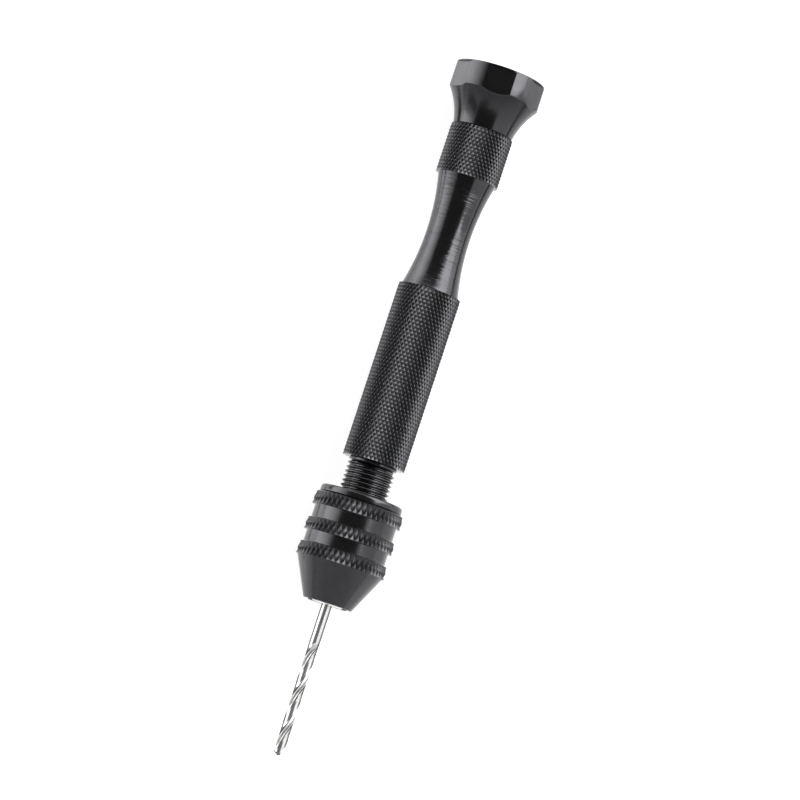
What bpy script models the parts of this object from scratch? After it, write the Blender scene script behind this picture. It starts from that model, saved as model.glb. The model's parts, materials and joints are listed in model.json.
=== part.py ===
"""Pin vise drill: a palm handle with a swivelling cap, a screwed-on keyless chuck and a twist drill.

The tool lies on its side, with the drill bit towards -X and the palm cap towards +X.
Lengths below are millimetres. A station is a distance along the tool from the cap's end face towards the bit.
"""

import math

import bmesh
import bpy
from mathutils import Matrix, Vector

MM = 0.001
JOIN = 1e-7  # metres within which two points of one mesh are the same point
FACETS = 48  # sides of the large round pieces, with one side facing down
FINE_FACETS = 36  # sides of the small round pieces
SMOOTH_ANGLE = math.radians(40)  # faces that meet at less than this are shaded as one surface

# overall
BODY_LENGTH = 90.0
BIT_LENGTH = 43.0
BIT_EXPOSED = 25.2
TIP = BODY_LENGTH + BIT_EXPOSED
PLAY = 0.05  # gap between pieces that seat on or turn in each other
EDGE = 0.15  # usual chamfer of an outside corner
FINE_EDGE = 0.05  # chamfer of a corner that is left almost sharp
OVERCUT = 0.5  # how far a cutter or a drilled hole reaches past what it must clear

# palm cap
CAP_R = 7.45
CAP_LIP = 0.25  # thin full round rim behind the flats
CAP_BAND = 4.0  # where the band with the flats ends on the flare
CAP_END = 9.8
CAP_NECK_R = 4.95
FLARE_R = 12.6
FLARE_STEPS = 10
FLATS = 6
FLAT_APOTHEM = 7.06
FLAT_CUT_WIDTH = 7.0  # wider than a flat, yet clear of the next flat's cutter
NECK_BORE_R = 2.45
PLUG_R = 6.0
PLUG_THICK = 0.85

# ball bearing in the cap
BEARING_START = 2.1
BEARING_WIDTH = 4.0
BEARING_BORE_R = 1.5
INNER_RING_R = 2.7
OUTER_RING_BORE_R = 3.8
BEARING_R = 4.98
BALLS = 7
BALL_R = 0.8
BALL_PITCH_R = 3.25
RACE_R = 0.84
RACE_STEPS = 6
BALL_FACETS = (12, 8)  # round a ball and from pole to pole
CAGE_R = (3.0, 3.5)
CAGE_HALF_WIDTH = 1.15
SHIELD_R = (2.78, 3.75)
SHIELD_THICK = 0.2
SHIELD_INSET = 0.1

# axle screw
AXLE_R = 1.45
AXLE_HEAD_R = 2.4
AXLE_HEAD_START = 0.95
AXLE_END = 18.5
AXLE_BUSH_R = 2.3
HEX_KEY_SIDES = 6
HEX_KEY_R = 0.95
HEX_KEY_DEPTH = 0.6

# handle
HANDLE_START = 9.9
HANDLE_END = 66.3
GRIP_R = 5.15
COLLAR_END = 18.1
GRIP_START = 37.2
WAIST_END_R = 4.75
WAIST_CURVE_R = 40.6
WAIST_STEPS = 20
SPIGOT_DEPTH = 8.3
TAIL_BORE_R = 1.9
TAIL_BORE_END = 54.0

# threaded stud between handle and chuck
STUD_R = 4.0
THREAD_PITCH = 0.75
THREAD_DEPTH = 0.42
THREAD_START = 66.95
SHOULDER_R = 3.95
SHOULDER_END = 66.75
UNDERCUT_R = 3.6
STUD_END = 75.6
STUD_BORE_R = 1.3
SPIGOT_R = 3.5
ROWS_PER_PITCH = 5

# chuck
CHUCK_START = 71.85
FLANGE_R = 6.8
FLANGE_ROUND = 0.4
FLANGE_END = 73.0
CORE_R = 4.9
CORE_THREAD_R = 5.3
CORE_THREAD_START = 76.35
CORE_END = 81.9
SOCKET_END = 80.3
BAND_R = 7.28
GROOVE_R = 6.72
BANDS = ((73.15, 75.3), (77.5, 79.5), (81.5, 83.64))
CONE_START_R = 7.1
NOSE_R = 4.02
CONE_MOUTH_R = 3.45
CONE_ANGLE = math.radians(20)
SLEEVE_BORE_R = 5.95
SLEEVE_THREAD = (74.0, 79.3)
SNAP_RING = (73.55, 73.95)
SNAP_RING_R = (5.0, 5.8)
SNAP_RING_GAP = 1.4
WASHER_END = 82.5

# jaws
JAWS = 3
JAW_START = WASHER_END + PLAY
JAW_END = 90.2
JAW_TAIL_R = 5.03
JAW_PLAY = 0.03  # between a jaw and the sleeve's cone
JAW_SHIFT = 0.73  # how far each jaw stands off the axis on this bit
JAW_EDGE = 0.88  # distance from the axis to the gripping edge
JAW_FLANK = math.radians(58)
JAW_ARC_STEPS = 12
SPRING_STATION = 84.2
SPRING_RADIUS_OUT = 3.0
SPRING_R = 0.33
SPRING_WIRE_R = 0.07
SPRING_HALF_LENGTH = 1.3
SPRING_TURNS = 5
SPRING_POINTS = 8  # points of the wire in each turn
POCKET_R = (2.1, 3.5)
POCKET_HALF_WIDTH = 0.5
POCKET_HALF_DEPTH = 1.5

# drill bit
BIT_R = 0.85
FLUTE_START = 96.2
FLUTE_UP = 97.75  # station where a flute faces straight up
FLUTE_PITCH = 13.1
FLUTE_RUNOUT = 1.8
FLUTE_DEPTH = 0.62  # as a share of the bit's radius
FLUTE_HALF = math.radians(38)  # half the angle that a flute takes up
FLUTE_FULLNESS = 0.8  # below 1, the flute's floor is broader than a cosine wave
BIT_FACETS = 28
BIT_ROWS = 36  # sections along the flutes
POINT_ANGLE = math.radians(59)
POINT_SHARES = (0.5, 0.97)  # how far along the point its sections lie

AXIS_HEIGHT = CAP_R * math.cos(math.pi / FACETS)  # the lowest side of the cap's lip rests on z = 0


# ---------------------------------------------------------------- helpers


def clear_scene():
    for obj in list(bpy.data.objects):
        bpy.data.objects.remove(obj)


def material(name, colour, metallic, roughness):
    made = bpy.data.materials.new(name)
    made.use_nodes = True
    shader = made.node_tree.nodes["Principled BSDF"]
    shader.inputs["Base Color"].default_value = (*colour, 1)
    shader.inputs["Metallic"].default_value = metallic
    shader.inputs["Roughness"].default_value = roughness
    made.diffuse_color = (*colour, 1)
    return made


def at(station, radius=0.0, angle=0.0):
    """A point of the tool in metres, with the angle measured about the tool's axis from +Y towards +Z."""
    return Vector((-station, radius * math.cos(angle), radius * math.sin(angle))) * MM


def finish(name, bm, finish_material, parent):
    """Turns a bmesh into a shaded object on the tool's axis."""
    bmesh.ops.remove_doubles(bm, verts=bm.verts, dist=JOIN)
    bmesh.ops.recalc_face_normals(bm, faces=bm.faces)
    mesh = bpy.data.meshes.new(name)
    bm.to_mesh(mesh)
    bm.free()
    mesh.shade_smooth()
    mesh.set_sharp_from_angle(angle=SMOOTH_ANGLE)
    obj = bpy.data.objects.new(name, mesh)
    bpy.context.scene.collection.objects.link(obj)
    obj.parent = parent
    if finish_material:
        mesh.materials.append(finish_material)
    return obj


def turned(name, outline, finish_material, parent, facets=FACETS):
    """A turned piece: the closed outline of (station, radius) points spun about the tool's axis."""
    first = -math.pi / 2 + math.pi / facets
    bm = bmesh.new()
    points = [bm.verts.new(at(station, radius, first)) for station, radius in outline]
    edges = []
    for i, point in enumerate(points):
        if outline[i][1] > 0 or outline[i - 1][1] > 0:
            edges.append(bm.edges.new((points[i - 1], point)))
    bmesh.ops.spin(
        bm, geom=points + edges, axis=(1, 0, 0), cent=(0, 0, 0), angle=math.tau, steps=facets, use_merge=True
    )
    return finish(name, bm, finish_material, parent)


def lofted(name, sections, finish_material, parent, ring=False):
    """Skins a row of matching sections, then joins the last to the first or caps both ends."""
    bm = bmesh.new()
    loops = [[bm.verts.new(point) for point in section] for section in sections]
    pairs = list(zip(loops, loops[1:]))
    if ring:
        pairs.append((loops[-1], loops[0]))
    else:
        bm.faces.new(loops[0])
        bm.faces.new(loops[-1])
    for low, high in pairs:
        for j in range(len(low)):
            bm.faces.new((low[j - 1], low[j], high[j], high[j - 1]))
    return finish(name, bm, finish_material, parent)


def arc(start, end, radius, count):
    """The points between start and end on an arc of this radius that sags towards the tool's axis."""
    start, end = Vector(start), Vector(end)
    chord = end - start
    centre = (start + end) / 2
    centre += Vector((-chord.y, chord.x)).normalized() * math.sqrt(radius**2 - (chord.length / 2) ** 2)
    spread = 2 * math.asin(chord.length / 2 / radius)
    spoke = start - centre
    points = []
    for i in range(1, count):
        turn = Matrix.Rotation(spread * i / count, 2)
        points.append(tuple(centre + turn @ spoke))
    return points


def cut(obj, tool):
    change = obj.modifiers.new(tool.name, "BOOLEAN")
    change.object = tool
    change.operation = "DIFFERENCE"
    change.solver = "EXACT"


def as_cutter(obj):
    obj.hide_render = True
    obj.display_type = "WIRE"
    return obj


def prism_cutter(name, sides, apothem, start, end, parent):
    """A prism along the tool with one flat side facing straight down."""
    bm = bmesh.new()
    reach = apothem / math.cos(math.pi / sides)
    place = Matrix.Translation(at((start + end) / 2)) @ Matrix.Rotation(math.pi / 2, 4, "Y")
    bmesh.ops.create_cone(
        bm,
        cap_ends=True,
        segments=sides,
        radius1=reach * MM,
        radius2=reach * MM,
        depth=(end - start) * MM,
        matrix=place,
    )
    return as_cutter(finish(name, bm, None, parent))


def box_at(bm, station, radius, angle, size):
    """A box centred at this place, with its size along the tool, around it and outwards."""
    turn = Matrix.Rotation(angle - math.pi / 2, 4, "X")
    stretch = Matrix.Diagonal((*(side * MM for side in size), 1))
    bmesh.ops.create_cube(bm, size=1, matrix=Matrix.Translation(at(station, radius, angle)) @ turn @ stretch)


# ---------------------------------------------------------------- palm cap and its bearing


def palm_cap(finish_material, axis):
    pocket_r = BEARING_R + PLAY
    pocket_end = BEARING_START + BEARING_WIDTH + PLAY
    recess = PLUG_THICK + PLAY
    flare = arc((CAP_BAND, CAP_R), (CAP_END, CAP_NECK_R), FLARE_R, FLARE_STEPS)
    outline = [
        (0, PLUG_R + PLAY),
        (0, CAP_R - FINE_EDGE),
        (FINE_EDGE, CAP_R),
        (CAP_BAND, CAP_R),
        *flare,
        (CAP_END, CAP_NECK_R),
        (CAP_END, NECK_BORE_R),
        (pocket_end, NECK_BORE_R),
        (pocket_end, pocket_r),
        (recess, pocket_r),
        (recess, PLUG_R + PLAY),
    ]
    cap = turned("palm_cap", outline, finish_material, axis)
    flats = bmesh.new()
    length = CAP_END + OVERCUT - CAP_LIP
    depth = CAP_R + OVERCUT - FLAT_APOTHEM
    for i in range(FLATS):
        angle = math.pi / 2 + math.tau * i / FLATS
        box_at(flats, CAP_LIP + length / 2, FLAT_APOTHEM + depth / 2, angle, (length, FLAT_CUT_WIDTH, depth))
    cut(cap, as_cutter(finish("cap_flats_cutter", flats, None, axis)))


def end_plug(finish_material, axis):
    outline = [(0, 0), (0, PLUG_R - EDGE), (EDGE, PLUG_R), (PLUG_THICK, PLUG_R), (PLUG_THICK, 0)]
    turned("cap_end_plug", outline, finish_material, axis)


def race_arc(side, radius):
    """The ball groove in a bearing ring's face: side is +1 for a groove seen from outside, -1 from inside."""
    centre = BEARING_START + BEARING_WIDTH / 2
    half = math.sqrt(RACE_R**2 - (BALL_PITCH_R - radius) ** 2)
    reach = math.asin(half / RACE_R)
    points = []
    for i in range(RACE_STEPS + 1):
        angle = reach * (2 * i / RACE_STEPS - 1)
        points.append((centre + RACE_R * math.sin(angle), BALL_PITCH_R - side * RACE_R * math.cos(angle)))
    return points


def bearing(ring_material, cage_material, axis):
    start = BEARING_START
    end = start + BEARING_WIDTH
    middle = (start + end) / 2
    inner = [
        (start, BEARING_BORE_R),
        (start, INNER_RING_R),
        *race_arc(1, INNER_RING_R),
        (end, INNER_RING_R),
        (end, BEARING_BORE_R),
    ]
    outer = [
        (start, BEARING_R),
        (start, OUTER_RING_BORE_R),
        *race_arc(-1, OUTER_RING_BORE_R),
        (end, OUTER_RING_BORE_R),
        (end, BEARING_R),
    ]
    turned("bearing_inner_ring", inner, ring_material, axis, FINE_FACETS)
    turned("bearing_outer_ring", outer, ring_material, axis, FINE_FACETS)

    shields = {
        "bearing_shield_outer": start + SHIELD_INSET,
        "bearing_shield_inner": end - SHIELD_INSET - SHIELD_THICK,
    }
    low, high = SHIELD_R
    for name, near in shields.items():
        far = near + SHIELD_THICK
        turned(name, [(near, low), (near, high), (far, high), (far, low)], ring_material, axis, FINE_FACETS)

    low, high = CAGE_R
    near, far = middle - CAGE_HALF_WIDTH, middle + CAGE_HALF_WIDTH
    cage = turned(
        "bearing_cage", [(near, low), (near, high), (far, high), (far, low)], cage_material, axis, FINE_FACETS
    )
    pockets = bmesh.new()
    around, down = BALL_FACETS
    for i in range(BALLS):
        angle = math.tau * i / BALLS
        place = Matrix.Translation(at(middle, BALL_PITCH_R, angle))
        ball = bmesh.new()
        for bm, radius in ((pockets, BALL_R + PLAY), (ball, BALL_R)):
            bmesh.ops.create_uvsphere(
                bm, u_segments=around, v_segments=down, radius=radius * MM, matrix=place
            )
        finish(f"bearing_ball_{i + 1}", ball, ring_material, axis)
    cut(cage, as_cutter(finish("cage_pocket_cutter", pockets, None, axis)))


def axle(screw_material, bush_material, axis):
    head_end = BEARING_START - PLAY
    outline = [
        (AXLE_HEAD_START, 0),
        (AXLE_HEAD_START, AXLE_HEAD_R - EDGE),
        (AXLE_HEAD_START + EDGE, AXLE_HEAD_R),
        (head_end, AXLE_HEAD_R),
        (head_end, AXLE_R),
        (AXLE_END - 2 * EDGE, AXLE_R),
        (AXLE_END, AXLE_R - 2 * EDGE),
        (AXLE_END, 0),
    ]
    screw = turned("axle_screw", outline, screw_material, axis, FINE_FACETS)
    key_end = AXLE_HEAD_START + HEX_KEY_DEPTH
    key_start = AXLE_HEAD_START - OVERCUT
    cut(screw, prism_cutter("hex_key_cutter", HEX_KEY_SIDES, HEX_KEY_R, key_start, key_end, axis))

    start = BEARING_START + BEARING_WIDTH + PLAY
    end = HANDLE_START - PLAY
    bush = [(start, BEARING_BORE_R), (start, AXLE_BUSH_R), (end, AXLE_BUSH_R), (end, BEARING_BORE_R)]
    turned("axle_spacer_bush", bush, bush_material, axis, FINE_FACETS)


# ---------------------------------------------------------------- handle and stud


def handle(finish_material, axis):
    axle_hole_end = AXLE_END + OVERCUT
    spigot_bottom = HANDLE_END - SPIGOT_DEPTH
    waist = arc((COLLAR_END, WAIST_END_R), (GRIP_START, WAIST_END_R), WAIST_CURVE_R, WAIST_STEPS)
    outline = [
        (axle_hole_end, 0),
        (axle_hole_end, BEARING_BORE_R),
        (HANDLE_START, BEARING_BORE_R),
        (HANDLE_START, GRIP_R - FINE_EDGE),
        (HANDLE_START + FINE_EDGE, GRIP_R),
        (COLLAR_END - FINE_EDGE, GRIP_R),
        (COLLAR_END, GRIP_R - FINE_EDGE),
        (COLLAR_END, WAIST_END_R),
        *waist,
        (GRIP_START, WAIST_END_R),
        (GRIP_START, GRIP_R - FINE_EDGE),
        (GRIP_START + FINE_EDGE, GRIP_R),
        (HANDLE_END - FINE_EDGE, GRIP_R),
        (HANDLE_END, GRIP_R - FINE_EDGE),
        (HANDLE_END, SPIGOT_R + PLAY),
        (spigot_bottom, SPIGOT_R + PLAY),
        (spigot_bottom, TAIL_BORE_R),
        (TAIL_BORE_END, TAIL_BORE_R),
        (TAIL_BORE_END, 0),
    ]
    turned("handle", outline, finish_material, axis)


def ring_section(station, radius_at, facets):
    """One ring of points, with the radius given by a function of the angle."""
    angles = [math.tau * (j + 0.5) / facets - math.pi / 2 for j in range(facets)]
    return [at(station, radius_at(angle), angle) for angle in angles]


def thread_radius(station, angle):
    """A right-hand 60 degree thread: the crest moves towards the bit as the angle falls."""
    phase = (station / THREAD_PITCH + angle / math.tau) % 1
    return STUD_R - THREAD_DEPTH * abs(2 * phase - 1)


def chuck_stud(finish_material, axis):
    start = HANDLE_END - SPIGOT_DEPTH + PLAY
    shoulder = HANDLE_END + PLAY
    plain = [
        (start, SPIGOT_R),
        (shoulder, SPIGOT_R),
        (shoulder, SHOULDER_R),
        (SHOULDER_END, SHOULDER_R),
        (SHOULDER_END, UNDERCUT_R),
        (THREAD_START, UNDERCUT_R),
    ]
    sections = [ring_section(station, lambda angle, r=radius: r, FINE_FACETS) for station, radius in plain]
    step = THREAD_PITCH / ROWS_PER_PITCH
    rows = round((STUD_END - THREAD_START) / step)
    for i in range(1, rows):
        station = THREAD_START + i * step
        sections.append(ring_section(station, lambda angle, s=station: thread_radius(s, angle), FINE_FACETS))
    sections.append(ring_section(STUD_END, lambda angle: STUD_R - THREAD_DEPTH - EDGE, FINE_FACETS))
    sections.append(ring_section(STUD_END, lambda angle: STUD_BORE_R, FINE_FACETS))
    sections.append(ring_section(start, lambda angle: STUD_BORE_R, FINE_FACETS))
    lofted("chuck_stud", sections, finish_material, axis, ring=True)


# ---------------------------------------------------------------- chuck


def chuck_body(finish_material, axis):
    socket_r = STUD_R + PLAY
    halfway = FLANGE_ROUND * (1 - math.sqrt(0.5))
    outline = [
        (CHUCK_START, socket_r),
        (CHUCK_START, FLANGE_R - FLANGE_ROUND),
        (CHUCK_START + halfway, FLANGE_R - halfway),
        (CHUCK_START + FLANGE_ROUND, FLANGE_R),
        (FLANGE_END, FLANGE_R),
        (FLANGE_END, CORE_R),
        (CORE_THREAD_START, CORE_R),
        (CORE_THREAD_START, CORE_THREAD_R),
        (CORE_END, CORE_THREAD_R),
        (CORE_END, TAIL_BORE_R),
        (SOCKET_END, TAIL_BORE_R),
        (SOCKET_END, socket_r),
    ]
    turned("chuck_body", outline, finish_material, axis)


def cone_radius(station):
    """Radius of the sleeve's inner cone, which closes the jaws."""
    return CONE_MOUTH_R + (BODY_LENGTH - station) * math.tan(CONE_ANGLE)


def chuck_sleeve(finish_material, axis):
    thread_start, thread_end = SLEEVE_THREAD
    thread_r = CORE_THREAD_R + PLAY
    ring_near, ring_far = SNAP_RING
    groove_r = SNAP_RING_R[1] + PLAY
    cone_start = BODY_LENGTH - (SLEEVE_BORE_R - CONE_MOUTH_R) / math.tan(CONE_ANGLE)
    outline = [(BANDS[0][0], thread_r)]
    for near, far in BANDS:
        outline += [(near, GROOVE_R), (near + EDGE, BAND_R), (far - EDGE, BAND_R), (far, GROOVE_R)]
    outline[-1] = (BANDS[-1][1], CONE_START_R)
    outline += [
        (BODY_LENGTH, NOSE_R),
        (BODY_LENGTH, CONE_MOUTH_R),
        (cone_start, SLEEVE_BORE_R),
        (thread_end, SLEEVE_BORE_R),
        (thread_end, thread_r),
        (ring_far + PLAY, thread_r),
        (ring_far + PLAY, groove_r),
        (ring_near - PLAY, groove_r),
        (ring_near - PLAY, thread_r),
    ]
    turned("chuck_sleeve", outline, finish_material, axis)


def sleeve_snap_ring(finish_material, axis):
    near, far = SNAP_RING
    low, high = SNAP_RING_R
    outline = [(near, low), (near, high), (far, high), (far, low)]
    ring = turned("sleeve_snap_ring", outline, finish_material, axis)
    gap = bmesh.new()
    size = (2 * (far - near), SNAP_RING_GAP, 2 * (high - low))
    box_at(gap, (near + far) / 2, (low + high) / 2, math.pi / 2, size)
    cut(ring, as_cutter(finish("snap_ring_gap_cutter", gap, None, axis)))


def thrust_washer(finish_material, axis):
    near = CORE_END + PLAY
    outline = [
        (near, TAIL_BORE_R),
        (near, JAW_TAIL_R),
        (WASHER_END, JAW_TAIL_R),
        (WASHER_END, TAIL_BORE_R),
    ]
    turned("jaw_thrust_washer", outline, finish_material, axis, FINE_FACETS)


def jaw_angle(number):
    """The direction in which a jaw opens. Jaw 1 opens straight up."""
    return math.pi / 2 + math.tau * number / JAWS


def jaw_section(station, radius, middle):
    """A jaw's outline across the tool: the gripping edge, two flanks and an arc that fits the cone."""

    def on_flank(distance_out):
        """How far along a flank it meets a circle of this radius about the tool's axis."""
        along = math.cos(JAW_FLANK) * JAW_SHIFT
        return math.sqrt(along**2 - JAW_SHIFT**2 + distance_out**2) - along

    edge = (JAW_EDGE - JAW_SHIFT) * math.tan(JAW_FLANK)
    reach = on_flank(radius)
    spread = math.atan2(reach * math.sin(JAW_FLANK), JAW_SHIFT + reach * math.cos(JAW_FLANK))
    flat = [(JAW_EDGE, -edge), (JAW_EDGE, edge)]
    outside = [spread * (1 - 2 * i / JAW_ARC_STEPS) for i in range(JAW_ARC_STEPS + 1)]
    flat += [(radius * math.cos(angle), radius * math.sin(angle)) for angle in outside]
    return [at(station, math.hypot(out, across), middle + math.atan2(across, out)) for out, across in flat]


def jaws(jaw_material, spring_material, axis):
    cone_meets_tail = BODY_LENGTH - (JAW_TAIL_R + JAW_PLAY - CONE_MOUTH_R) / math.tan(CONE_ANGLE)
    stations = [
        (JAW_START, JAW_TAIL_R),
        (cone_meets_tail, JAW_TAIL_R),
        (JAW_END - EDGE, cone_radius(JAW_END - EDGE) - JAW_PLAY),
        (JAW_END, cone_radius(JAW_END) - JAW_PLAY - EDGE),
    ]
    pockets = bmesh.new()
    low, high = POCKET_R
    size = (2 * POCKET_HALF_WIDTH, 2 * POCKET_HALF_DEPTH, high - low)
    gaps = [jaw_angle(number) + math.pi / JAWS for number in range(JAWS)]
    for angle in gaps:
        box_at(pockets, SPRING_STATION, (low + high) / 2, angle, size)
    pocket_cutter = as_cutter(finish("spring_pocket_cutter", pockets, None, axis))
    for number in range(JAWS):
        middle = jaw_angle(number)
        sections = [jaw_section(station, radius, middle) for station, radius in stations]
        cut(lofted(f"jaw_{number + 1}", sections, jaw_material, axis), pocket_cutter)
        jaw_spring(f"jaw_spring_{number + 1}", gaps[number], spring_material, axis)


def jaw_spring(name, angle, finish_material, axis):
    """A coil spring across the gap between two jaws, which pushes them apart."""
    outward = Vector((0, math.cos(angle), math.sin(angle)))
    around = Vector((0, -math.sin(angle), math.cos(angle)))
    along = Vector((1, 0, 0))
    centre = at(SPRING_STATION, SPRING_RADIUS_OUT, angle)
    curve = bpy.data.curves.new(name, "CURVE")
    curve.dimensions = "3D"
    curve.bevel_depth = SPRING_WIRE_R * MM
    curve.bevel_resolution = 1
    curve.use_fill_caps = True
    count = SPRING_TURNS * SPRING_POINTS + 1
    spline = curve.splines.new("POLY")
    spline.points.add(count - 1)
    for i, point in enumerate(spline.points):
        turn = math.tau * i / SPRING_POINTS
        advance = SPRING_HALF_LENGTH * (2 * i / (count - 1) - 1)
        coil = outward * math.cos(turn) + along * math.sin(turn)
        point.co = (*(centre + (around * advance + coil * SPRING_R) * MM), 1)
    curve.materials.append(finish_material)
    obj = bpy.data.objects.new(name, curve)
    bpy.context.scene.collection.objects.link(obj)
    obj.parent = axis


# ---------------------------------------------------------------- drill bit


def bit_section(station, radius, depth):
    """A section with two flutes, each a smooth hollow in a circle, turned by the twist at this station."""
    twist = math.tau * (station - FLUTE_UP) / FLUTE_PITCH
    points = []
    for j in range(BIT_FACETS):
        angle = math.tau * j / BIT_FACETS
        off = (angle + math.pi / 2) % math.pi - math.pi / 2  # from the middle of the nearer flute
        wave = math.cos(min(abs(off) / FLUTE_HALF, 1) * math.pi / 2)
        hollow = max(wave, 0) ** FLUTE_FULLNESS
        points.append(at(station, radius * (1 - depth * hollow), math.pi / 2 + angle - twist))
    return points


def drill_bit(finish_material, axis):
    start = TIP - BIT_LENGTH
    flutes_end = TIP - BIT_R / math.tan(POINT_ANGLE)
    sections = []
    for station, radius in ((start, BIT_R - EDGE), (start + EDGE, BIT_R)):
        back = Vector((FLUTE_START - station, 0, 0)) * MM
        sections.append([point + back for point in bit_section(FLUTE_START, radius, 0)])
    for i in range(BIT_ROWS + 1):
        station = FLUTE_START + (flutes_end - FLUTE_START) * i / BIT_ROWS
        fade = min(1, (station - FLUTE_START) / FLUTE_RUNOUT)
        sections.append(bit_section(station, BIT_R, FLUTE_DEPTH * fade))
    for share in POINT_SHARES:
        station = flutes_end + (TIP - flutes_end) * share
        sections.append(bit_section(station, BIT_R * (1 - share), FLUTE_DEPTH * (1 - share)))
    lofted("drill_bit", sections, finish_material, axis)


def main():
    clear_scene()
    axis = bpy.data.objects.new("tool_axis", None)
    axis.location = (TIP * MM / 2, 0, AXIS_HEIGHT * MM)
    bpy.context.scene.collection.objects.link(axis)

    black_aluminium = material("black_anodised_aluminium", (0.012, 0.012, 0.013), 0.9, 0.32)
    black_steel = material("black_oxide_steel", (0.02, 0.02, 0.022), 0.9, 0.35)
    plug_black = material("end_plug_black", (0.015, 0.015, 0.016), 0.9, 0.3)
    bright_steel = material("bright_steel", (0.75, 0.75, 0.74), 1.0, 0.2)
    bearing_steel = material("bearing_steel", (0.6, 0.6, 0.61), 1.0, 0.18)
    cage_brass = material("cage_brass", (0.72, 0.5, 0.22), 1.0, 0.3)
    spring_steel = material("spring_steel", (0.5, 0.5, 0.52), 1.0, 0.3)

    palm_cap(black_aluminium, axis)
    end_plug(plug_black, axis)
    bearing(bearing_steel, cage_brass, axis)
    axle(bright_steel, cage_brass, axis)
    handle(black_aluminium, axis)
    chuck_stud(black_steel, axis)
    chuck_body(black_steel, axis)
    chuck_sleeve(black_steel, axis)
    sleeve_snap_ring(spring_steel, axis)
    thrust_washer(bearing_steel, axis)
    jaws(bright_steel, spring_steel, axis)
    drill_bit(bright_steel, axis)


main()
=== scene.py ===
"""Looks of the pin vise drill: knurled and turned surfaces, procedural metals, studio light and camera.

Shapes are in millimetres. A station is a distance along the tool from the cap's end face towards the bit.
"""

import json
import math
import random

import bmesh
import bpy
from mathutils import Matrix, Vector


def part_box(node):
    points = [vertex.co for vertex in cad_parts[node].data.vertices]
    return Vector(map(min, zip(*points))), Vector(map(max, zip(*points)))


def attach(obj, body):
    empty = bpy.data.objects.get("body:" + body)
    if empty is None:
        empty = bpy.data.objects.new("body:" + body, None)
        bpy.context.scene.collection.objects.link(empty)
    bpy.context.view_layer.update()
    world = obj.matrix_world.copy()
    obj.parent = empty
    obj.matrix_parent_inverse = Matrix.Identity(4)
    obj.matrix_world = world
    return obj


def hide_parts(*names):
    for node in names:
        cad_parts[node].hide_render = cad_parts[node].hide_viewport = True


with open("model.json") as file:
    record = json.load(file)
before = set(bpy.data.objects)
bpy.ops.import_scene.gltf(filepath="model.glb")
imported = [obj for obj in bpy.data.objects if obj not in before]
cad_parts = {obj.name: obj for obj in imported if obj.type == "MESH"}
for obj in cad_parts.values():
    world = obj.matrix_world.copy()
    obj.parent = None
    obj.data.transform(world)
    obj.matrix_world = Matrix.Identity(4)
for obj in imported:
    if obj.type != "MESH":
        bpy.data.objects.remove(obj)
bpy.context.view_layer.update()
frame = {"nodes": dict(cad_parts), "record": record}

MM = 0.001
random.seed(7)


def joint(name):
    return next(j for j in frame["record"]["behaviour"]["joints"] if j["name"] == name)


CAP_FACE = Vector(joint("cap_swivel")["pos_m"])  # where the tool's axis leaves the cap


def span(node):
    """First and last station of a CAD node, counted from the cap."""
    low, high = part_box(node)
    return (CAP_FACE.x - high[0]) / MM, (CAP_FACE.x - low[0]) / MM


def at(station, radius=0.0, angle=0.0):
    """A point of the tool in metres. The angle is about the tool's axis, from +Y towards +Z."""
    return CAP_FACE + Vector((-station, radius * math.cos(angle), radius * math.sin(angle))) * MM


# ---------------------------------------------------------------- materials


class Shader:
    """A Principled material with a few short ways to add nodes."""

    def __init__(self, name):
        self.material = bpy.data.materials.new(name)
        self.material.use_nodes = True
        self.tree = self.material.node_tree
        self.surface = self.tree.nodes["Principled BSDF"]

    def set(self, **values):
        for name, value in values.items():
            self.surface.inputs[name.replace("_", " ")].default_value = value

    def node(self, kind, **settings):
        made = self.tree.nodes.new("ShaderNode" + kind)
        for name, value in settings.items():
            setattr(made, name, value)
        return made

    def link(self, source, target):
        self.tree.links.new(source, target)

    def place(self):
        return self.node("TexCoord").outputs["Object"]

    def noise(self, vector, scale, detail=2.0):
        made = self.node("TexNoise")
        made.inputs["Scale"].default_value = scale
        made.inputs["Detail"].default_value = detail
        self.link(vector, made.inputs["Vector"])
        return made.outputs["Fac"]

    def lathe_lines(self, vector, scale, detail=3.0, drift=0.0):
        """Noise that changes along the tool and hardly round it, as a lathe tool's marks do."""
        split = self.node("Mapping")
        split.inputs["Scale"].default_value = (1.0, drift, drift)
        self.link(vector, split.inputs["Vector"])
        return self.noise(split.outputs["Vector"], scale, detail)

    def between(self, factor, low, high, start=0.3, end=0.7):
        """Low where the factor is below start, high above end, and a straight ramp from one to the other."""
        made = self.node("MapRange")
        for name, value in (("From Min", start), ("From Max", end), ("To Min", low), ("To Max", high)):
            made.inputs[name].default_value = value
        self.link(factor, made.inputs["Value"])
        return made.outputs["Result"]

    def mix(self, factor, first, second):
        """Blends two colours, each a tuple or another node's output."""
        made = self.node("Mix", data_type="RGBA")
        self.link(factor, made.inputs["Factor"])
        for name, value in (("A", first), ("B", second)):
            socket = next(s for s in made.inputs if s.name == name and s.type == "RGBA")
            if isinstance(value, tuple):
                socket.default_value = (*value, 1)
            else:
                self.link(value, socket)
        return next(s for s in made.outputs if s.type == "RGBA")

    def bump(self, height, distance, strength=None):
        """Adds relief on top of what the surface already has."""
        made = self.node("Bump")
        made.inputs["Strength"].default_value = 1.0
        if strength:
            self.link(strength, made.inputs["Strength"])
        made.inputs["Distance"].default_value = distance
        self.link(height, made.inputs["Height"])
        previous = self.surface.inputs["Normal"]
        if previous.is_linked:
            self.link(previous.links[0].from_socket, made.inputs["Normal"])
        self.link(made.outputs["Normal"], previous)


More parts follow.
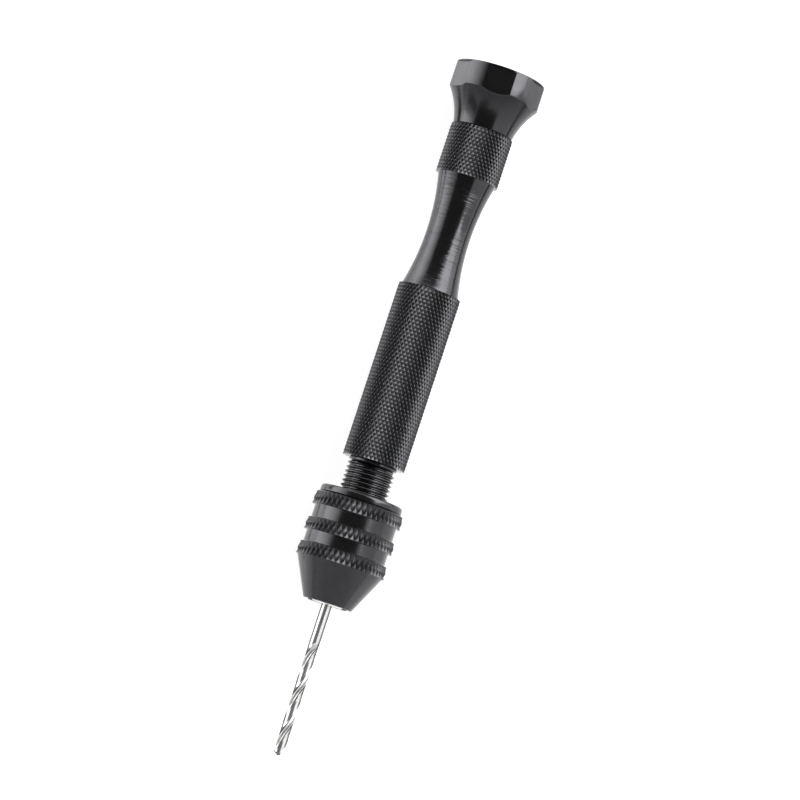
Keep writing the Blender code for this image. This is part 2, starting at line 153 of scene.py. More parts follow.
# noise over a metal, from its tint to its dullness and how deep the coarse rings go
CLOUD_SCALE, BLOTCH_SCALE, PATCH_SCALE = 700.0, 400.0, 160.0
LINE_SCALE, RING_SCALE = 9000.0, 2600.0  # fine lathe lines and coarser rings
LINE_DEPTH = 1.0e-6


def turned_metal(name, dark, light, roughness, marks=0.0, worn=None, dull=0.0, sunk=None):
    """Metal with fine lathe marks.

    marks is the depth of coarser rings in metres. Where a mesh has a wear value it shows the worn colour, and
    where it has a cut value it shows the sunk colour and is rougher by up to dull.
    """
    shader = Shader(name)
    shader.set(Metallic=1.0)
    place = shader.place()
    cloud = shader.between(shader.noise(place, CLOUD_SCALE, 4.0), 0.0, 1.0)
    colour = shader.mix(cloud, dark, light)
    cut = shader.node("Attribute", attribute_name="cut").outputs["Fac"] if dull else None
    if sunk:
        colour = shader.mix(cut, colour, sunk)
    if worn:
        wear = shader.node("Attribute", attribute_name="wear")
        colour = shader.mix(wear.outputs["Fac"], colour, worn)
    shader.link(colour, shader.surface.inputs["Base Color"])
    low, high = roughness
    blotch = shader.between(shader.noise(place, BLOTCH_SCALE, 5.0), low, high)
    if dull:
        total = shader.node("Math", operation="MULTIPLY_ADD")
        shader.link(cut, total.inputs[0])
        total.inputs[1].default_value = dull
        shader.link(blotch, total.inputs[2])
        blotch = total.outputs["Value"]
    shader.link(blotch, shader.surface.inputs["Roughness"])
    shader.bump(shader.lathe_lines(place, LINE_SCALE, 4.0, 0.03), LINE_DEPTH)
    if marks:
        rings = shader.lathe_lines(place, RING_SCALE, 5.0, 0.05)
        patch = shader.between(shader.noise(place, PATCH_SCALE, 2.0), 0.1, 1.0, 0.4, 0.6)
        shader.bump(rings, marks, patch)
    return shader


EDGE_START, EDGE_FULL = 0.24, 0.36  # how far a surface turns away before the painted outline shade begins, and where it is full


def painted_outline_shade(shader, light, outline_shade):
    """Paints shade into polished metal towards its outline: its colour and edge tint darken as the surface
    turns away from the view.
    """
    facing = shader.node("LayerWeight")
    facing.inputs["Blend"].default_value = 0.5
    rim = shader.between(facing.outputs["Facing"], 0.0, 1.0, EDGE_START, EDGE_FULL)
    shader.link(shader.mix(rim, light, outline_shade), shader.surface.inputs["Base Color"])
    shader.surface.inputs["Specular Tint"].default_value = (*outline_shade, 1)


GLOW_ALL, GLOW_LEFT = 0.8, 1.3  # of the whole table, and more on the tool's left
LEFT_EDGE = (0.014, 0.022)  # where the brighter part begins, sideways
CONE_EDGE = (-0.043, -0.027)  # and where it ends along the tool, beside the cone


def floor_material():
    """A pale table lit from below, brighter on the tool's left as far as the cone."""
    shader = Shader("pale_table")
    shader.set(Roughness=0.6)
    shader.surface.inputs["Emission Color"].default_value = (1, 1, 1, 1)
    place = shader.node("SeparateXYZ")
    shader.link(shader.place(), place.inputs["Vector"])
    left = shader.between(place.outputs["Y"], 0.0, GLOW_LEFT, *LEFT_EDGE)
    beside = shader.between(place.outputs["X"], 0.0, 1.0, *CONE_EDGE)
    glow = shader.node("Math", operation="MULTIPLY_ADD")
    shader.link(left, glow.inputs[0])
    shader.link(beside, glow.inputs[1])
    glow.inputs[2].default_value = GLOW_ALL
    shader.link(glow.outputs["Value"], shader.surface.inputs["Emission Strength"])
    tint = shader.mix(shader.noise(shader.place(), 30.0, 3.0), (0.44, 0.44, 0.44), (0.47, 0.47, 0.47))
    shader.link(tint, shader.surface.inputs["Base Color"])
    return shader.material


# ---------------------------------------------------------------- mesh building


def soften(outline, steps=4):
    """Rounds each corner of an outline that has a third value, its fillet radius."""
    points = []
    for i, point in enumerate(outline):
        here = Vector(point[:2])
        if len(point) < 3:
            points.append(tuple(here))
            continue
        before = Vector(outline[i - 1][:2]) - here
        after = Vector(outline[(i + 1) % len(outline)][:2]) - here
        reach = min(point[2], before.length / 2, after.length / 2)
        first, last = here + before.normalized() * reach, here + after.normalized() * reach
        for k in range(steps + 1):
            t = k / steps
            points.append(tuple(first * (1 - t) ** 2 + here * 2 * t * (1 - t) + last * t**2))
    return points


def arc(start, end, radius, count):
    """The points between start and end on an arc that sags towards the tool's axis."""
    start, end = Vector(start), Vector(end)
    chord = end - start
    centre = (start + end) / 2
    centre += Vector((-chord.y, chord.x)).normalized() * math.sqrt(radius**2 - (chord.length / 2) ** 2)
    spread = 2 * math.asin(chord.length / 2 / radius)
    spoke = start - centre
    return [tuple(centre + Matrix.Rotation(spread * i / count, 2) @ spoke) for i in range(1, count)]


TOOTH_CORNERS = [(1, 0), (0.5, 0.5), (0, 1), (-0.5, 0.5), (-1, 0), (-0.5, -0.5), (0, -1), (0.5, -0.5)]
TOOTH_STEPS = ((0.5, 0.56, 0.0), (0.1, 0.96, 0.8))  # size, height and wear of a tooth's flank and crown
RIM_WEAR = 0.1  # along both ends of a knurl
THREAD_LEAD_IN = 0.4  # pitches over which a thread rises
THREAD_WEAR = 0.8  # of its crest


class Skin:
    """A turned mesh, made ring by ring, with knurled and threaded stretches where they are asked for."""

    def __init__(self, name, angles):
        self.name = name
        self.angles = angles
        self.bm = bmesh.new()
        self.wear = self.bm.verts.layers.float.new("wear")
        self.cut = self.bm.verts.layers.float.new("cut")
        self.first = None
        self.last = None

    def vertex(self, point, wear=0.0, cut=0.0):
        """A point whose wear brightens the metal and whose cut dulls it."""
        made = self.bm.verts.new(point)
        made[self.wear] = wear
        made[self.cut] = cut
        return made

    def bridge(self, low, high):
        for j in range(len(low)):
            self.bm.faces.new((low[j - 1], low[j], high[j], high[j - 1]))

    def put(self, verts):
        if self.last:
            self.bridge(self.last, verts)
        self.first = self.first or verts
        self.last = verts

    def ring(self, station, radius):
        self.put([self.vertex(at(station, radius, angle)) for angle in self.angles])

    def rings(self, outline):
        for station, radius in outline:
            self.ring(station, radius)

    def knurl(self, start, end, rows, radius, depth, cross=0.0, rim=0.85):
        """Diamonds between start and end.

        cross lifts the grooves of one family by that share of the depth, and rim is the teeth's height at
        both ends.
        """
        columns = len(self.angles)
        step = (end - start) / rows
        valley = radius - depth
        places = {}

        def spot(column, row, height, wear=0.0):
            key = (2 * column % (2 * columns), 2 * row)
            if key not in places:
                turn = math.tau * column / columns + self.angles[0]
                point = at(start + row * step, valley + depth * height, turn)
                places[key] = self.vertex(point, wear, 1.0)
            return places[key]

        def end_height(column, row):
            return rim if (column + row) % 2 == 0 else 0.0

        self.put([spot(j, 0, end_height(j, 0), RIM_WEAR) for j in range(columns)])
        for row in range(rows + 1):
            for column in range(row % 2, columns, 2):
                self.diamond(spot, column, row, rows, cross)
        self.last = [spot(j, rows, end_height(j, rows), RIM_WEAR) for j in range(columns)]

    def diamond(self, spot, column, row, rows, cross):
        """One pyramid of the knurl, with a small worn crown, or half of one at an end of the knurl."""
        inside = [0 <= row + y <= rows for x, y in TOOTH_CORNERS]
        lift = [0, 0, 0, cross, 0, 0, 0, cross]
        top = 1 + random.uniform(-0.05, 0.02)
        shine = random.uniform(0.5, 1.0)
        centre = spot(column, row, top, shine)
        outer = [
            spot(column + x, row + y, rise) if keep else None
            for (x, y), rise, keep in zip(TOOTH_CORNERS, lift, inside)
        ]
        rings = [outer]
        if 0 < row < rows:
            for size, rise, wear in TOOTH_STEPS:
                ring = [(column + x * size, row + y * size) for x, y in TOOTH_CORNERS]
                rings.append([spot(*place, top * rise, wear * shine) for place in ring])
        for low, high in zip(rings, rings[1:]):
            self.bridge(low, high)
        crown = rings[-1]
        for k in range(8):
            if crown[k - 1] and crown[k]:
                self.bm.faces.new((crown[k - 1], crown[k], centre))

    def thread(self, start, end, crest, depth, pitch, profile):
        """A right-hand thread whose points follow the helix. profile has (share of a pitch, height)."""
        columns = len(self.angles)
        radius = crest - depth
        rows = int((end - start) / pitch + 3) * len(profile)
        near = [self.vertex(at(start, radius, angle)) for angle in self.angles]
        far = [self.vertex(at(end, radius, angle)) for angle in self.angles]
        places = {}

        def spot(column, row):
            turns, column = divmod(column, columns)
            row -= turns * len(profile)
            share, height = profile[row % len(profile)]
            station = start + pitch * (row // len(profile) + share - column / columns)
            if station <= start + 1e-6:
                return near[column]
            if station >= end - 1e-6:
                return far[column]
            if (column, row) not in places:
                fade = min(1, (station - start) / (THREAD_LEAD_IN * pitch), (end - station) / pitch)
                worn = THREAD_WEAR * height**6 * random.uniform(0.6, 1.0)
                point = at(station, radius + depth * height * fade, self.angles[column])
                places[column, row] = self.vertex(point, worn)
            return places[column, row]

        self.put(near)
        for column in range(columns):
            for row in range(-len(profile), rows):
                lower = [spot(column, row), spot(column + 1, row)]
                upper = [spot(column + 1, row + 1), spot(column, row + 1)]
                face = list(dict.fromkeys(lower + upper))
                if len(face) > 2:
                    self.bm.faces.new(face)
        self.last = far

    def close(self, ring=True):
        """Joins the last ring to the first, or closes both ends."""
        if ring:
            self.bridge(self.last, self.first)
        else:
            self.bm.faces.new(self.first)
            self.bm.faces.new(self.last)

    def done(self, material, body, node, sharp=30):
        """Makes the object, which rides on the body and takes the place of the CAD node."""
        bmesh.ops.recalc_face_normals(self.bm, faces=self.bm.faces)
        mesh = bpy.data.meshes.new(self.name)
        self.bm.to_mesh(mesh)
        self.bm.free()
        mesh.shade_smooth()
        mesh.set_sharp_from_angle(angle=math.radians(sharp))
        mesh.materials.append(material)
        obj = bpy.data.objects.new(self.name, mesh)
        bpy.context.scene.collection.objects.link(obj)
        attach(obj, body)
        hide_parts(node)


def even(columns):
    """That many equally spaced angles."""
    return [math.tau * j / columns for j in range(columns)]


# ---------------------------------------------------------------- the pieces

PLAY = 0.05  # running gap between pieces
AXLE_HOLE_R = 1.5

CAP_R = 7.45
CAP_BAND = 4.0
CAP_NECK_R = 4.95
FLARE_R = 12.6
FLARE_STEPS = 40
FLATS = 6
FLAT_APOTHEM = 7.06
CAP_LIP = 0.25  # thin full round rim behind the flats
CAP_EDGE = 0.07  # of the rim round the end face
EDGE_WEAR = 0.25  # where the band meets the flare
FLARE_CUT = 0.7  # how dark and dull the flare is beside the flats
PLUG_R = 6.0
PLUG_THICK = 0.85
POCKET_R = 5.03
POCKET_END = 6.15
NECK_BORE_R = 2.45


def cap_angles(on_flat, on_land):
    """Angles of the cap's columns, with one on each edge between a flat and a land."""
    half = math.acos(FLAT_APOTHEM / CAP_R)
    angles = []
    for i in range(FLATS):
        middle = math.pi / 2 + math.tau * i / FLATS
        angles += [middle - half + 2 * half * k / on_flat for k in range(on_flat)]
        land = math.tau / FLATS - 2 * half
        angles += [middle + half + land * k / on_land for k in range(on_land)]
    return angles


def palm_cap(material):
    """The cap's band changes from round lands to flats, and the flats run out in arches on the flare."""
    start, end = span("palm_cap")
    foot, neck = (CAP_BAND, CAP_R), (end, CAP_NECK_R)
    flare = [foot, *arc(foot, neck, FLARE_R, FLARE_STEPS), neck]
    half = math.acos(FLAT_APOTHEM / CAP_R)
    sector = math.tau / FLATS
    cap = Skin("palm_cap_turned", cap_angles(12, 8))

    def band_radius(angle):
        off = (angle - math.pi / 2 + sector / 2) % sector - sector / 2
        return FLAT_APOTHEM / math.cos(off) if abs(off) < half - 1e-6 else CAP_R

    def flare_radius(station):
        for (near, high), (far, low) in zip(flare, flare[1:]):
            if near <= station <= far:
                return high + (low - high) * (station - near) / (far - near)
        return CAP_NECK_R

    def run_out(angle):
        """Where the band's surface meets the flare."""
        radius = band_radius(angle)
        for (near, high), (far, low) in zip(flare, flare[1:]):
            if low <= radius <= high:
                return near + (far - near) * (high - radius) / (high - low)
        return CAP_BAND

    def band_ring(inset, place):
        """A ring of the band. place is a distance from the end face, or minus one from the run-out."""
        verts = []
        for angle in cap.angles:
            station = place if place >= 0 else run_out(angle) + place
            verts.append(cap.vertex(at(station, band_radius(angle) - inset, angle)))
        cap.put(verts)

    recess_r = PLUG_R + PLAY
    recess = PLUG_THICK + PLAY
    inner = [(end - 0.12, NECK_BORE_R), (POCKET_END, NECK_BORE_R), (POCKET_END, POCKET_R), (recess, POCKET_R)]
    inner += [(recess, recess_r), (0.1, recess_r), (0.0, recess_r + 0.1)]
    cap.rings(inner)
    cap.rings([(0.0, CAP_R - CAP_EDGE), (0.02, CAP_R - 0.02), (CAP_EDGE, CAP_R), (CAP_LIP - 0.03, CAP_R)])
    for inset, place in ((0.0, CAP_LIP), (0.0, 2.0), (0.0, -0.1)):
        band_ring(inset, place)
    cap.put([cap.vertex(at(run_out(a) - 0.015, band_radius(a) - 0.012, a), EDGE_WEAR) for a in cap.angles])
    for k in range(1, FLARE_STEPS + 1):
        share = k / FLARE_STEPS
        verts = []
        for angle in cap.angles:
            near = run_out(angle)
            station = near + (end - near) * share
            verts.append(cap.vertex(at(station, flare_radius(station), angle), cut=FLARE_CUT * (1 - share)))
        cap.put(verts)
    cap.ring(end, NECK_BORE_R + 0.12)
    cap.close()
    cap.done(material, "palm_cap", "palm_cap", sharp=12)


def end_plug(material):
    start, end = span("cap_end_plug")
    plug = Skin("cap_end_plug_turned", even(96))
    outline = [(end, 0.2), (end, PLUG_R), (0.1, PLUG_R, 0.1), (start, PLUG_R - 0.12), (start, 0.2)]
    plug.rings(soften(outline))
    plug.close(ring=False)
    plug.done(material, "palm_cap", "cap_end_plug")


# handle
KNURL_COUNT = 46  # diamonds round the handle
GRIP_R = 5.2
KNURL_DEPTH = 0.2
KNURL_ROW = 0.6
AXLE_HOLE_DEPTH = 9.1
COLLAR_END = 18.1
GRIP_START = 37.2
WAIST_END_R = 4.75
WAIST_CURVE_R = 40.6
WAIST_STEPS = 60
SPIGOT_R = 3.5
SPIGOT_DEPTH = 8.3
TAIL_BORE_R = 1.9
TAIL_BORE_END = 54.0


def handle(material):
    start, end = span("handle")
    body = Skin("handle_knurled", even(2 * KNURL_COUNT))
    face_r = GRIP_R - KNURL_DEPTH - 0.06
    hole = [(start + AXLE_HOLE_DEPTH, AXLE_HOLE_R), (start + 0.15, AXLE_HOLE_R), (start, AXLE_HOLE_R + 0.15)]
    body.rings(hole)
    body.ring(start, face_r)
    rows = round((COLLAR_END - start) / KNURL_ROW)
    body.knurl(start + 0.05, COLLAR_END - 0.04, rows, GRIP_R, KNURL_DEPTH)
    body.ring(COLLAR_END, WAIST_END_R + 0.03)
    waist = arc((COLLAR_END, WAIST_END_R), (GRIP_START, WAIST_END_R), WAIST_CURVE_R, WAIST_STEPS)
    body.rings([(COLLAR_END + 0.03, WAIST_END_R), *waist, (GRIP_START - 0.03, WAIST_END_R)])
    body.ring(GRIP_START, WAIST_END_R + 0.03)
    rows = round((end - GRIP_START) / KNURL_ROW)
    body.knurl(GRIP_START + 0.04, end - 0.05, rows, GRIP_R, KNURL_DEPTH)
    socket_r = SPIGOT_R + PLAY
    body.rings([(end, face_r), (end, socket_r + 0.1), (end - 0.1, socket_r), (end - SPIGOT_DEPTH, socket_r)])
    body.rings([(end - SPIGOT_DEPTH, TAIL_BORE_R), (TAIL_BORE_END, TAIL_BORE_R)])
    body.close(ring=False)
    body.done(material, "handle", "handle")


# stud and its thread
STUD_R = 4.0
THREAD_PITCH = 0.75
THREAD_DEPTH = 0.46
SHOULDER_R = 3.95
SHOULDER_LONG = 0.4
STUD_BORE_R = 1.3
THREAD_PROFILE = ((0.0, 0.0), (0.08, 0.03), (0.42, 0.93), (0.5, 1.0), (0.58, 0.93), (0.92, 0.03))


def chuck_stud(material):
    start, end = span("chuck_stud")
    shoulder = span("handle")[1] + PLAY
    after = shoulder + SHOULDER_LONG
    stud = Skin("chuck_stud_threaded", even(120))
    outline = [
        (start, STUD_BORE_R + 0.1),
        (start, SPIGOT_R, 0.15),
        (shoulder, SPIGOT_R),
        (shoulder, SHOULDER_R, 0.08),
        (after, SHOULDER_R, 0.08),
        (after, STUD_R - THREAD_DEPTH - 0.04),
    ]
    stud.rings(soften(outline))
    stud.thread(after + 0.15, end - 0.2, STUD_R, THREAD_DEPTH, THREAD_PITCH, THREAD_PROFILE)
    stud.rings([(end, STUD_R - THREAD_DEPTH - 0.2), (end, STUD_BORE_R + 0.15), (end - 0.15, STUD_BORE_R)])
    stud.ring(start + 0.1, STUD_BORE_R)
    stud.close()
    stud.done(material, "handle", "chuck_stud")


# chuck
FLANGE_R = 6.8
FLANGE_END = 73.0
CORE_R = 4.9
CORE_THREAD_R = 5.3
CORE_THREAD_START = 76.35
CORE_THREAD_DEPTH, CORE_THREAD_PITCH = 0.35, 1.0
SOCKET_END = 80.3
BAND_KNURLS = 50  # diamonds round a band of the sleeve
BAND_R = 7.36
BAND_DEPTH = 0.32
BAND_CROSS = 0.3  # how far one family of grooves is lifted, as a share of the depth
BAND_RIM = 0.5  # height of the teeth at a band's edges, as a share of the depth
GROOVE_R = 6.8
BANDS = ((73.15, 75.3), (77.5, 79.5), (81.5, 83.64))
CONE_START_R = 7.1
NOSE_R = 4.02
CONE_MOUTH_R = 3.45
CONE_ANGLE = math.radians(20)
CONE_STEPS = 24
SLEEVE_BORE_R = 5.95
SLEEVE_THREAD = (74.0, 79.3)
RING_GROOVE = (73.5, 5.85)


def chuck_body(material):
    start, end = span("chuck_body")
    socket_r = STUD_R + PLAY
    body = Skin("chuck_body_turned", even(120))
    outline = [
        (start + 0.35, socket_r),
        (start, socket_r + 0.35),
        (start, FLANGE_R, 0.55),
        (FLANGE_END, FLANGE_R, 0.1),
        (FLANGE_END, CORE_R, 0.1),
        (CORE_THREAD_START, CORE_R),
    ]
    body.rings(soften(outline))
    thread = (CORE_THREAD_R, CORE_THREAD_DEPTH, CORE_THREAD_PITCH)
    body.thread(CORE_THREAD_START + 0.1, end - 0.3, *thread, THREAD_PROFILE)
    body.rings([(end, CORE_THREAD_R - 0.5), (end, TAIL_BORE_R)])
    body.rings([(SOCKET_END, TAIL_BORE_R), (SOCKET_END, socket_r)])
    body.close()
    body.done(material, "chuck", "chuck_body")


def chuck_sleeve(material):
    start, end = span("chuck_sleeve")
    thread_r = CORE_THREAD_R + PLAY
    ring_start, ring_r = RING_GROOVE
    cone_start = end - (SLEEVE_BORE_R - CONE_MOUTH_R) / math.tan(CONE_ANGLE)
    sleeve = Skin("chuck_sleeve_knurled", even(2 * BAND_KNURLS))
    sleeve.ring(start, GROOVE_R)
    low_r = BAND_R - BAND_DEPTH
    for i, (near, far) in enumerate(BANDS):
        last = i == len(BANDS) - 1
        sleeve.rings([(near, low_r - 0.04), (near + 0.1, low_r + 0.1)])
        sleeve.knurl(near + 0.13, far - 0.03, 2, BAND_R, BAND_DEPTH, BAND_CROSS, BAND_RIM)
        if not last:
            sleeve.rings([(far, low_r - 0.04), (far + 0.02, GROOVE_R + 0.05), (far + 0.08, GROOVE_R)])
            after = BANDS[i + 1][0]
            sleeve.rings([(after - 0.08, GROOVE_R), (after - 0.02, GROOVE_R + 0.05)])
    near = BANDS[-1][1]
    slope = (CONE_START_R - NOSE_R) / (end - near)
    for k in range(CONE_STEPS):
        station = near + (end - near) * k / CONE_STEPS
        sleeve.ring(station, CONE_START_R - slope * (station - near))
    nose = [
        (end, NOSE_R, 0.04),
        (end, CONE_MOUTH_R, 0.06),
        (cone_start, SLEEVE_BORE_R),
        (SLEEVE_THREAD[1], SLEEVE_BORE_R),
        (SLEEVE_THREAD[1], thread_r),
        (SLEEVE_THREAD[0], thread_r),
        (SLEEVE_THREAD[0], ring_r),
        (ring_start, ring_r),
        (ring_start, thread_r),
        (start, thread_r),
    ]
    sleeve.rings(soften(nose))
    sleeve.close()
    sleeve.done(material, "sleeve", "chuck_sleeve")


# drill bit
BIT_R = 0.85
FLUTE_START = 96.2
FLUTE_UP = 97.75  # station where a flute faces straight up
FLUTE_PITCH = 13.1
FLUTE_RUNOUT = 1.8
FLUTE_HALF = math.radians(38)
WEB = 0.3  # half the web's thickness, as a share of the radius
MARGIN = math.radians(16)
RELIEF = 0.955
POINT_ANGLE = math.radians(59)
FLUTE_STEPS, LAND_STEPS = 9, 14
BIT_ROWS = 150
POINT_ROWS = (0.15, 0.3, 0.45, 0.6, 0.75, 0.88, 0.96)  # as shares of the point's length
FLUTE_EDGE = 0.93  # what lies deeper than this share of the radius is flute


def bit_section():
    """Unit outline of the fluted length: two lands with a narrow full-size margin, and two round flutes."""
    centre = (1 - WEB**2) / (2 * (math.cos(FLUTE_HALF) - WEB))
    rim = Vector((math.cos(FLUTE_HALF), math.sin(FLUTE_HALF)))
    sweep = math.atan2(rim.y, centre - rim.x)
    points = []
    for side in (0, math.pi):
        turn = Matrix.Rotation(side, 2)
        for k in range(-FLUTE_STEPS, FLUTE_STEPS):
            angle = sweep * k / FLUTE_STEPS
            inward = Vector((centre - (centre - WEB) * math.cos(angle), (centre - WEB) * math.sin(angle)))
            points.append(turn @ inward)
        land = math.pi - 2 * FLUTE_HALF
        for k in range(LAND_STEPS):
            angle = FLUTE_HALF + land * k / LAND_STEPS
            size = 1.0 if angle - FLUTE_HALF < MARGIN else RELIEF
            points.append(turn @ Vector((math.cos(angle), math.sin(angle))) * size)
    return points


def drill_bit(material):
    start, end = span("drill_bit")
    tip = end + 0.01
    unit = bit_section()
    bit = Skin("drill_bit_fluted", even(len(unit)))

    def turn_at(station):
        return math.tau * (station - FLUTE_UP) / FLUTE_PITCH - math.pi / 2

    def section(station):
        fade = max(0.0, min(1.0, (station - FLUTE_START) / FLUTE_RUNOUT))
        fade = fade * fade * (3 - 2 * fade)
        twist = turn_at(station)
        limit = (tip - station) * math.tan(POINT_ANGLE) / BIT_R
        verts = []
        for point in unit:
            angle = math.atan2(point.y, point.x)
            size = min(1 + (point.length - 1) * fade, limit)
            place = at(station, BIT_R * size, angle - twist)
            verts.append(bit.vertex(place, cut=float(size < FLUTE_EDGE)))
        bit.put(verts)

    def shank(station, size):
        twist = turn_at(FLUTE_START)
        bit.put([bit.vertex(at(station, BIT_R * size, math.atan2(p.y, p.x) - twist)) for p in unit])

    for station, size in ((start, 0.8), (start + 0.15, 1.0), (start + 9, 1.0)):
        shank(station, size)
    point_start = tip - BIT_R / math.tan(POINT_ANGLE)
    for k in range(BIT_ROWS + 1):
        section(FLUTE_START + (point_start - FLUTE_START) * k / BIT_ROWS)
    for share in POINT_ROWS:
        section(point_start + (end - point_start) * share)
    bit.close(ring=False)
    bit.done(material, "drill_bit", "drill_bit", sharp=35)


# ---------------------------------------------------------------- stage, light and camera

TABLE_SIZE = 6.0
CARD_HEIGHT = 0.64
ON_TABLE = 0.0005  # height of a card that lies on the table


def board(name, centre, size, upright=False):
    """A flat board over the table, or upright along it, hidden from the camera. Its caller gives it a
    material of its own name.
    """
    bm = bmesh.new()
    bmesh.ops.create_grid(bm, x_segments=1, y_segments=1, size=0.5, matrix=Matrix.Diagonal((*size, 1, 1)))
    mesh = bpy.data.meshes.new(name)
    bm.to_mesh(mesh)
    bm.free()
    obj = bpy.data.objects.new(name, mesh)
    obj.location = centre
    if upright:
        obj.rotation_euler = (math.pi / 2, 0, 0)
    bpy.context.scene.collection.objects.link(obj)
    obj.visible_camera = False
    return obj


def card(name, centre, size, shade, upright=False, thin=False):
    """A dull card that the shiny metal reflects. A thin one casts no shadow and shows only in reflections."""
    obj = board(name, centre, size, upright)
    shader = Shader(name)
    shader.set(Roughness=0.9)
    light = shade * 1.05
    tint = shader.mix(shader.noise(shader.place(), 5.0), (shade, shade, shade), (light, light, light))
    shader.link(tint, shader.surface.inputs["Base Color"])
    obj.data.materials.append(shader.material)
    if thin:
        obj.visible_shadow = obj.visible_diffuse = False


def panel(name, centre, size, bottom, top, full_below):
    """An upright lit panel, whose radiance falls from bottom to top above a height of full_below."""
    obj = board(name, centre, size, upright=True)
    shader = Shader(name)
    shader.surface.inputs["Base Color"].default_value = (0, 0, 0, 1)
    shader.surface.inputs["Emission Color"].default_value = (1, 1, 1, 1)
    split = shader.node("SeparateXYZ")
    shader.link(shader.place(), split.inputs["Vector"])
    ramp = shader.between(split.outputs["Y"], bottom, top, full_below - centre[2], size[1] / 2)
    shader.link(ramp, shader.surface.inputs["Emission Strength"])
    obj.data.materials.append(shader.material)


def softbox(name, place, aim, size, strength):
    """A rectangular area light, whose strength is its radiance."""
    lamp = bpy.data.lights.new(name, "AREA")
    lamp.shape = "RECTANGLE"
    lamp.size, lamp.size_y = size
    lamp.energy = strength * math.pi * size[0] * size[1]
    obj = bpy.data.objects.new(name, lamp)
    obj.location = place
    obj.rotation_mode = "QUATERNION"
    obj.rotation_quaternion = (Vector(aim) - Vector(place)).to_track_quat("-Z", "Y")
    obj.visible_camera = False
    bpy.context.scene.collection.objects.link(obj)


def white_room():
    """A white surround that is dimmer towards the bit's end."""
    world = bpy.data.worlds.new("white_room")
    world.use_nodes = True
    nodes, links = world.node_tree.nodes, world.node_tree.links
    place, split, dim = (nodes.new("ShaderNode" + kind) for kind in ("TexCoord", "SeparateXYZ", "MapRange"))
    for name, value in (("From Min", -0.9), ("From Max", -0.5), ("To Min", 0.45), ("To Max", 1.0)):
        dim.inputs[name].default_value = value
    links.new(place.outputs["Generated"], split.inputs["Vector"])
    links.new(split.outputs["X"], dim.inputs["Value"])
    links.new(dim.outputs["Result"], nodes["Background"].inputs["Strength"])
    nodes["Background"].inputs["Color"].default_value = (1, 1, 1, 1)
    return world


def studio():
    """The table, the cards, the lights and the surround."""
    bm = bmesh.new()
    bmesh.ops.create_grid(bm, x_segments=1, y_segments=1, size=TABLE_SIZE / 2)
    mesh = bpy.data.meshes.new("table")
    bm.to_mesh(mesh)
    bm.free()
    mesh.materials.append(floor_material())
    table = bpy.data.objects.new("table", mesh)
    bpy.context.scene.collection.objects.link(table)
    card("overhead_card", (0.09, 0.08, CARD_HEIGHT), (0.94, 0.96), 0.05)
    card("dark_corner", (-0.5, 0.33, CARD_HEIGHT), (0.24, 0.46), 0.2)
    card("dark_wall_left", (-0.35, 0.62, 0.36), (0.26, 0.6), 0.22, upright=True)
    card("dark_strip_left", (0.007, 0.0205, ON_TABLE), (0.082, 0.0033), 0.06, thin=True)
    card("dark_patch_cap", (0.0455, 0.03, ON_TABLE), (0.009, 0.024), 0.1, thin=True)
    card("dim_patch_left", (0.0105, 0.078, ON_TABLE), (0.045, 0.086), 0.25, thin=True)
    card("dark_strip_right", (0.03, -0.048, ON_TABLE), (0.06, 0.034), 0.04, thin=True)
    card("dim_floor_ahead", (-0.85, 0.0, ON_TABLE), (1.4, 3.0), 0.45, thin=True)
    panel("panel_left", (0.25, 0.62, 0.35), (0.7, 0.7), 3.6, 0.4, 0.14)
    panel("panel_right", (0.42, -0.55, 0.1), (0.6, 0.2), 2.4, 2.0, 0.05)
    softbox("softbox_right", (0.42, -0.46, 0.42), (0.03, 0, 0), (0.7, 0.56), 3.9)
    bpy.context.scene.world = white_room()
    bpy.context.scene.view_settings.view_transform = "Standard"


CAMERA_DISTANCE = 0.573
CAMERA_LENS = 161.0
CAMERA_TILT = math.radians(6.0)  # from straight above, towards the bit
CAMERA_TARGET = (55.31, -0.89)  # station and sideways offset at the picture's centre
TOOL_TURN = math.radians(18.17)  # of the tool's axis from upright in the picture


def camera():
    """A long lens, nearly straight above the tool."""
    data = bpy.data.cameras.new("camera")
    data.lens = CAMERA_LENS
    data.sensor_width = 36.0
    data.clip_start, data.clip_end = 0.01, 50.0
    back = Vector((-math.sin(CAMERA_TILT), 0, math.cos(CAMERA_TILT)))
    along = Vector((math.cos(CAMERA_TILT), 0, math.sin(CAMERA_TILT)))
    across = Vector((0, 1, 0))
    right = along * math.sin(TOOL_TURN) - across * math.cos(TOOL_TURN)
    up = along * math.cos(TOOL_TURN) + across * math.sin(TOOL_TURN)
    station, aside = CAMERA_TARGET
    target = at(station) + across * aside * MM
    obj = bpy.data.objects.new("camera", data)
    turn = Matrix((right, up, back)).transposed().to_4x4()
    obj.matrix_world = Matrix.Translation(target + back * CAMERA_DISTANCE) @ turn
    bpy.context.scene.collection.objects.link(obj)
    bpy.context.scene.camera = obj


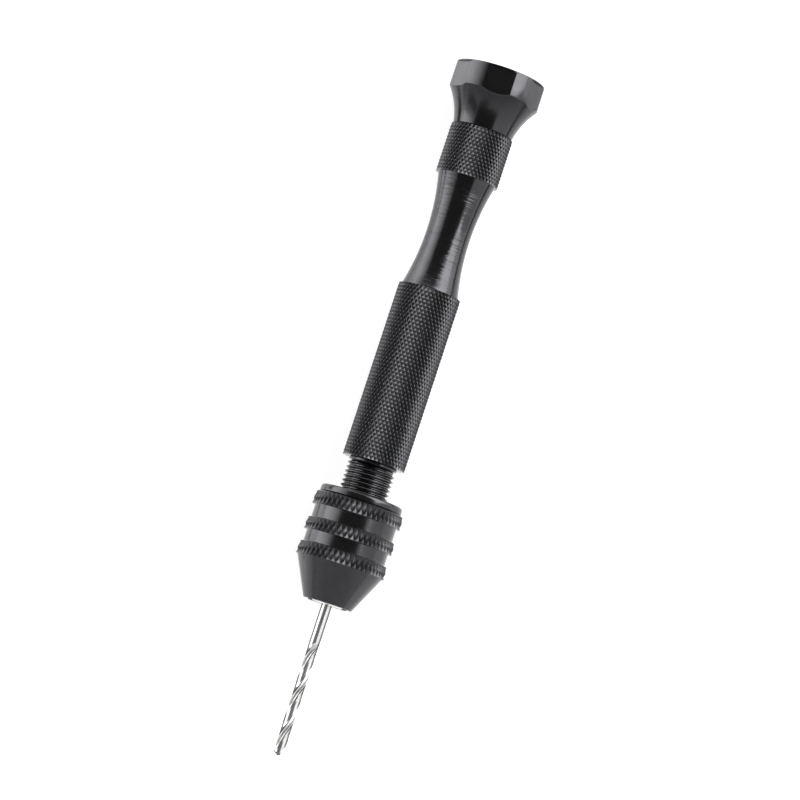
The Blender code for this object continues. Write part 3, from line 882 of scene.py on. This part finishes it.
def paint(nodes, material):
    """Gives CAD nodes that stay in view a finished material."""
    for name in nodes:
        obj = frame["nodes"][name]
        for held in obj.material_slots:
            held.material = material


# colours: the range of a metal's cloudy tint, and what its edges and cuts turn to
BLACK = ((0.064, 0.064, 0.068), (0.074, 0.074, 0.078))
WORN = (0.15, 0.15, 0.155)
SUNK = (0.05, 0.05, 0.053)
BRIGHT = ((0.7, 0.7, 0.69), (0.8, 0.8, 0.79))


def main():
    """Makes every piece, then the stage, the light and the camera."""
    black = turned_metal("black_anodised", *BLACK, (0.14, 0.2), 1.5e-6, WORN, 0.16, SUNK).material
    turned = turned_metal("black_anodised_turned", *BLACK, (0.13, 0.19), 1.2e-4, WORN, 0.08, SUNK).material
    oxide = turned_metal("black_oxide", *BLACK, (0.15, 0.22), 1.5e-6, WORN, 0.2, SUNK).material
    steel = turned_metal("bright_steel", *BRIGHT, (0.1, 0.2)).material
    polished = turned_metal("bright_steel_bit", *BRIGHT, (0.24, 0.3), dull=0.1)
    # painted shade along the bit's outline, darker where the steel turns away from the view
    painted_outline_shade(polished, BRIGHT[1], (0.2, 0.2, 0.2))
    bearing = turned_metal("bearing_steel", (0.55, 0.55, 0.57), (0.66, 0.66, 0.68), (0.14, 0.24)).material
    brass = turned_metal("cage_brass", (0.62, 0.43, 0.18), (0.75, 0.55, 0.27), (0.22, 0.34)).material
    spring = turned_metal("spring_steel", (0.42, 0.42, 0.45), (0.55, 0.55, 0.58), (0.25, 0.35)).material

    palm_cap(black)
    end_plug(black)
    handle(turned)
    chuck_stud(oxide)
    chuck_body(oxide)
    chuck_sleeve(oxide)
    drill_bit(polished.material)
    balls = [name for name in frame["nodes"] if name.startswith("bearing_ball")]
    shields = ["bearing_shield_outer", "bearing_shield_inner"]
    paint(["jaw_1", "jaw_2", "jaw_3", "axle_screw"], steel)
    paint(["bearing_inner_ring", "bearing_outer_ring", "jaw_thrust_washer", *shields, *balls], bearing)
    paint(["bearing_cage", "axle_spacer_bush"], brass)
    paint(["jaw_spring_1", "jaw_spring_2", "jaw_spring_3", "sleeve_snap_ring"], spring)
    studio()
    camera()


main()
